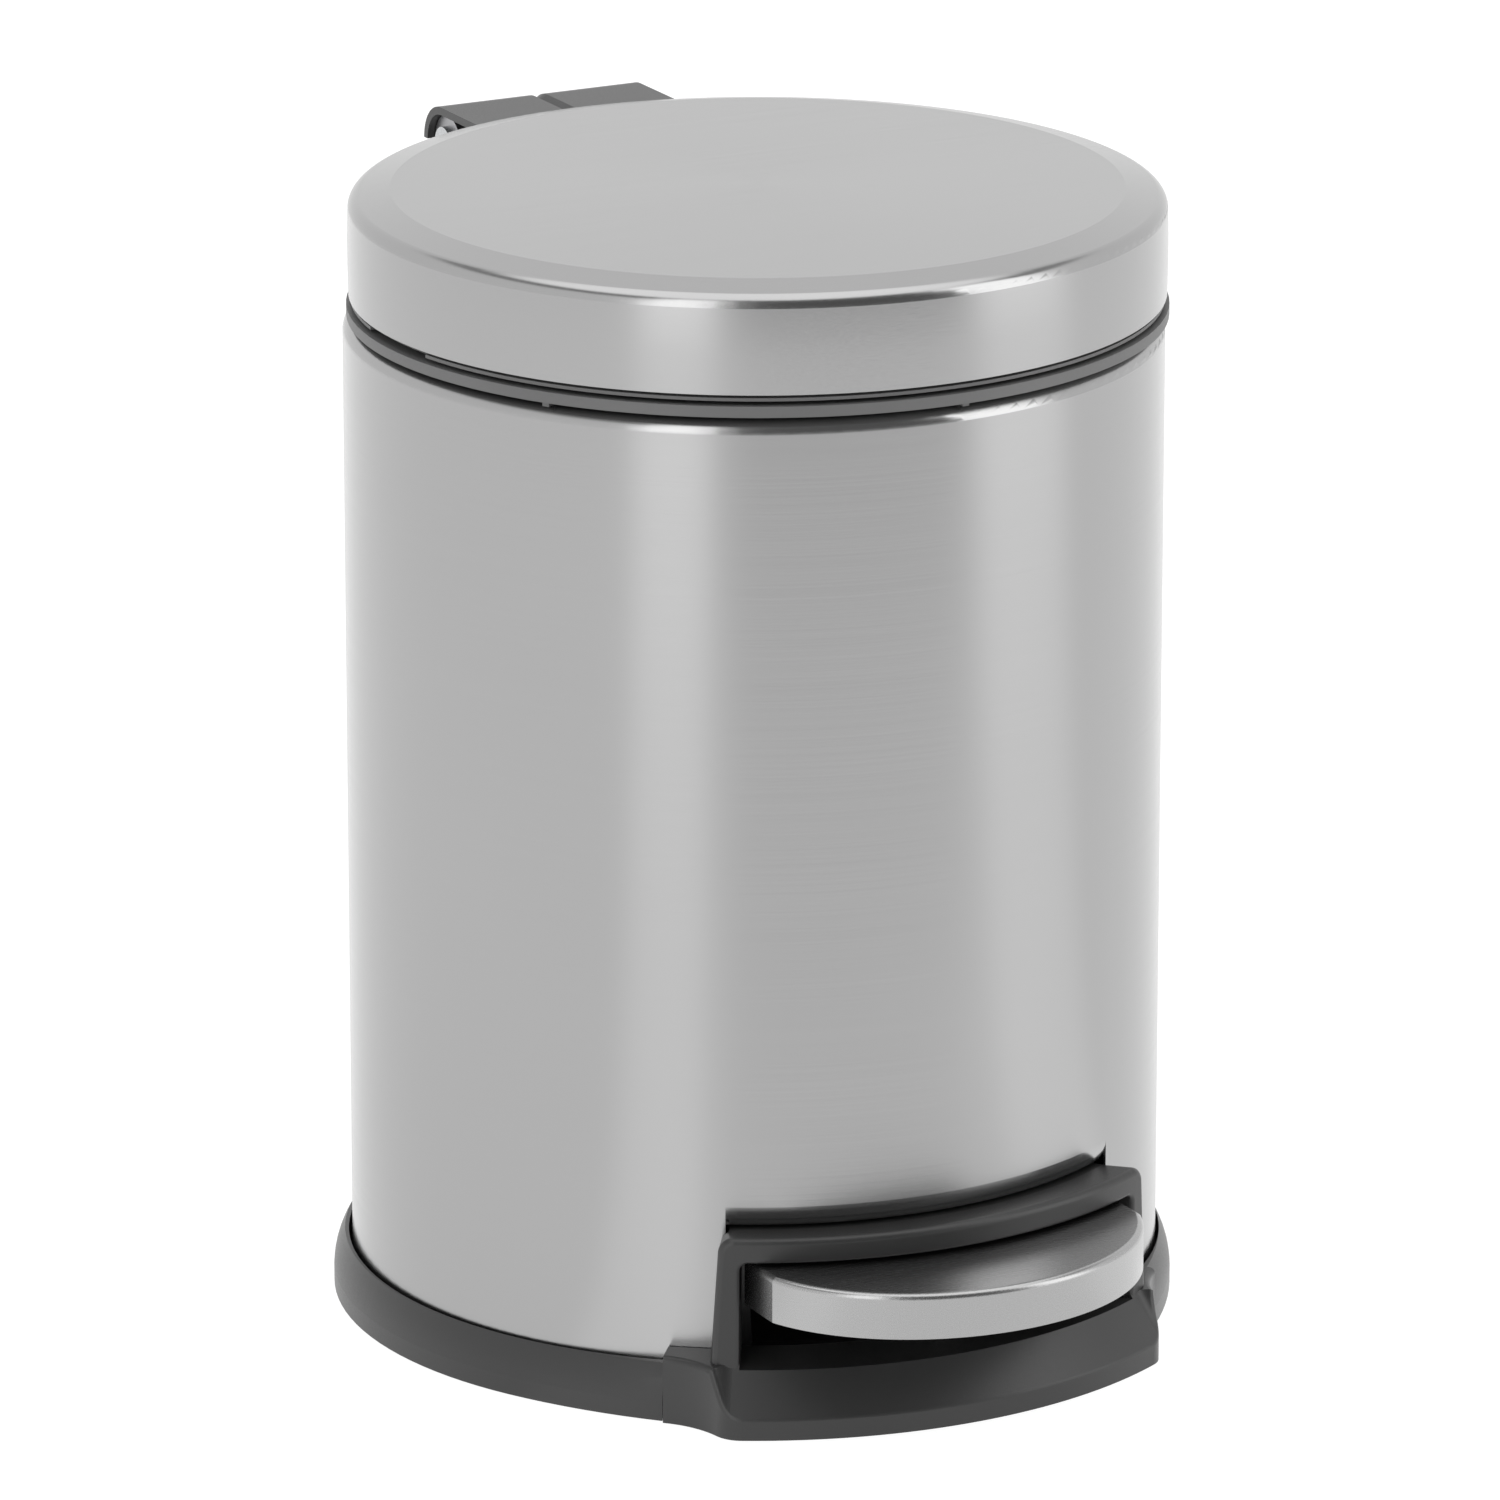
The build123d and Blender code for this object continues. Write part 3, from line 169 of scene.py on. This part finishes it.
# the lights: angles in degrees, azimuths from the camera's own towards its right, 1 is a white wall
light_strips = [(-22.0, (5.0, 14.0)), (78.0, (8.0, 20.0))]
strip_level = 2.4
strip_top = 55.0                 # elevation where the strips end
strip_fade = 10.0                # degrees that this edge fades over, either way
painted_strip_light_share = 0.16            # painted light: how much brighter the floor glows towards each strip, for rays other than the camera's
gap_azimuth = 26.0               # unlit space in front, between the strips
gap_spread = (26.0, 40.0)
gap_top = 50.0
gap_fade = 12.0
gap_level = 0.15
ring_bottom = 40.0               # unlit ring round the box overhead, open to the wall behind
ring_fade = 5.0
ring_level = 0.3
wall_spread = (24.0, 44.0)       # opening in the ring, opposite the camera
box_elevation = 86.0
box_spread = (30.0, 40.0)
box_level = 1.7


def direction(azimuth, elevation=0.0):
    """A unit vector out from the object, angles in radians. Azimuth 0 is -Y, a quarter turn is +X."""
    flat = math.cos(elevation)
    return Vector((math.sin(azimuth) * flat, -math.cos(azimuth) * flat, math.sin(elevation)))


def math_node(tree, operation, first, second):
    """The result of one sum on two values or sockets."""
    return add_node(tree, "ShaderNodeMath", {"operation": operation}, in0=first, in1=second).outputs[0]


def patch(tree, ray, centre, full, none):
    """A soft-edged patch of sky: 1 up to full degrees from its centre, 0 beyond none degrees."""
    near = add_node(tree, "ShaderNodeVectorMath", {"operation": "DOT_PRODUCT"}, in0=ray, in1=centre)
    soft = add_node(
        tree, "ShaderNodeMapRange", {"interpolation_type": "SMOOTHSTEP"}, in0=near.outputs["Value"],
        in1=math.cos(math.radians(none)), in2=math.cos(math.radians(full)), in3=0.0, in4=1.0,
    )
    return soft.outputs["Result"]


def toward(tree, current, wanted, amount):
    """Moves a brightness towards a wanted one where the amount is 1."""
    made = add_node(tree, "ShaderNodeMix", {"data_type": "FLOAT"}, in0=amount, in2=current, in3=wanted)
    return made.outputs[0]


def flat_direction(tree, source):
    """The level part of a direction or place, as a unit vector."""
    keep_level = (1.0, 1.0, 0.0)
    level = add_node(tree, "ShaderNodeVectorMath", {"operation": "MULTIPLY"}, in0=source, in1=keep_level)
    unit = add_node(tree, "ShaderNodeVectorMath", {"operation": "NORMALIZE"}, in0=level.outputs[0])
    return unit.outputs[0]


def from_camera(azimuth, elevation=0.0):
    """A direction given in degrees from the camera's own azimuth."""
    return direction(view_azimuth + math.radians(azimuth), math.radians(elevation))


def studio_light():
    """A white room: two tall soft strips, an unlit gap between them, and a box overhead in an unlit ring."""
    world = bpy.data.worlds.new("studio")
    bpy.context.scene.world = world
    world.use_nodes = True
    tree = world.node_tree
    out = tree.nodes["Background"]
    out.inputs["Color"].default_value = (1.0, 1.0, 1.0, 1.0)
    ray = add_node(tree, "ShaderNodeTexCoord").outputs["Generated"]
    horizon = flat_direction(tree, ray)
    down = Vector((0.0, 0.0, -1.0))
    below_gap_top = patch(tree, ray, down, 90 + gap_top - gap_fade, 90 + gap_top + gap_fade)
    below_strip_top = patch(tree, ray, down, 90 + strip_top - strip_fade, 90 + strip_top + strip_fade)
    above_ring = patch(tree, ray, -down, 90 - ring_bottom - ring_fade, 90 - ring_bottom + ring_fade)
    wall = patch(tree, horizon, from_camera(180.0), *wall_spread)
    ring = math_node(tree, "MULTIPLY", above_ring, math_node(tree, "SUBTRACT", 1.0, wall))
    bright = toward(tree, 1.0, ring_level, ring)
    gap = patch(tree, horizon, from_camera(gap_azimuth), *gap_spread)
    bright = toward(tree, bright, gap_level, math_node(tree, "MULTIPLY", gap, below_gap_top))
    for azimuth, spread in light_strips:
        strip = patch(tree, horizon, from_camera(azimuth), *spread)
        bright = toward(tree, bright, strip_level, math_node(tree, "MULTIPLY", strip, below_strip_top))
    box = patch(tree, ray, from_camera(180.0, box_elevation), *box_spread)
    bright = toward(tree, bright, box_level, box)
    seen = add_node(tree, "ShaderNodeLightPath").outputs["Is Camera Ray"]
    tree.links.new(toward(tree, bright, 1.0, seen), out.inputs["Strength"])


def pale_floor():
    """A round white floor, wide enough to fill the picture, that hardly takes a shadow; for rays other than
    the camera's its glow has painted pools of the strips' light.
    """
    floor_radius = 1.6
    floor_colour = (0.14, 0.14, 0.14)
    floor_roughness = 0.9
    floor_level = 0.94               # its own light
    gap_below = 0.3 * MM
    corners = [math.radians(turn) for turn in range(0, 360, 5)]
    rim = [(floor_radius * math.cos(turn), floor_radius * math.sin(turn), -gap_below) for turn in corners]
    mesh = bpy.data.meshes.new("floor")
    mesh.from_pydata(rim, [], [list(range(len(rim)))])
    floor = bpy.data.objects.new("floor", mesh)
    bpy.context.scene.collection.objects.link(floor)
    material, tree, shader = new_finish("floor_white", floor_colour, floor_roughness)
    shader.inputs["Emission Color"].default_value = (1.0, 1.0, 1.0, 1.0)
    place = flat_direction(tree, add_node(tree, "ShaderNodeTexCoord").outputs["Object"])
    bright = floor_level
    # painted light: the floor's glow is raised towards each strip, standing in for the strips' light on it;
    # the camera sees it evenly bright
    for azimuth, spread in light_strips:
        strip = patch(tree, place, from_camera(azimuth), *spread)
        bright = math_node(tree, "ADD", math_node(tree, "MULTIPLY", strip, painted_strip_light_share), bright)
    seen = add_node(tree, "ShaderNodeLightPath").outputs["Is Camera Ray"]
    tree.links.new(toward(tree, bright, floor_level, seen), shader.inputs["Emission Strength"])
    mesh.materials.append(material)


def photo_camera():
    """The camera at the photograph's angle, aimed near the middle of the bin."""
    data = bpy.data.cameras.new("camera")
    data.lens = camera_lens
    data.sensor_width = sensor_width
    data.clip_end = far_clip
    camera = bpy.data.objects.new("camera", data)
    bpy.context.scene.collection.objects.link(camera)
    outward = direction(view_azimuth, view_elevation)
    camera.location = camera_aim + outward * camera_distance
    camera.rotation_euler = (-outward).to_track_quat("-Z", "Y").to_euler()
    bpy.context.scene.camera = camera


studio_light()
pale_floor()
photo_camera()
bpy.context.scene.view_settings.view_transform = "Standard"
